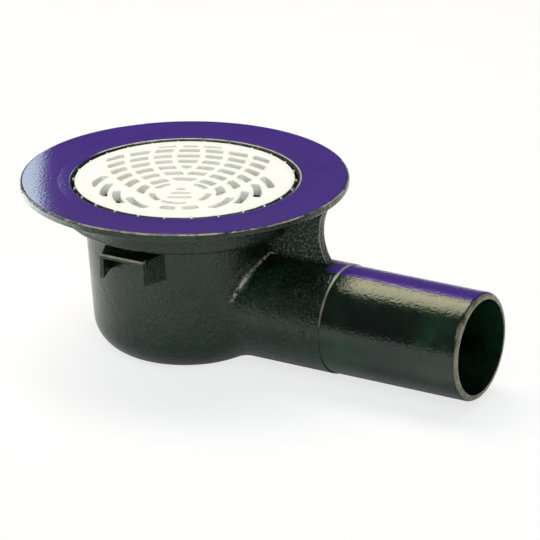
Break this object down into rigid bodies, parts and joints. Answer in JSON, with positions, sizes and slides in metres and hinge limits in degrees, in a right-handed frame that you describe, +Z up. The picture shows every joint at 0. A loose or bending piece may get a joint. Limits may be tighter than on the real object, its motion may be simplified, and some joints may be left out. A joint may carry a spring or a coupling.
{
  "type": "floor drain",
  "caption": "Cast-iron floor drain with a wide round flange, a deep bowl with a side outlet pipe, fixing lugs, a lift-out plastic grate and a removable water trap",
  "frame": {"origin": "on the upright axis of the bowl and flange, in the plane of the flat underside of the bowl", "axes": "+Z is up along the axis of the bowl, +X is the direction in which the outlet pipe leaves the bowl, +Y completes a right-handed frame with a fixing lug on each side"},
  "size_m": [0.3458, 0.2276, 0.1229],
  "materials": {
    "iron_paint": "gloss black-green paint over a cast skin, violet on the upward faces",
    "grate_plastic": "warm white moulded plastic",
    "trap_plastic": "matt moulded plastic",
    "seal_rubber": "matt rubber"
  },
  "bodies": {
    "root": {"drain_body": "iron_paint", "grate": "grate_plastic", "trap_insert": "trap_plastic", "trap_seal": "seal_rubber"}
  },
  "joints": []
}
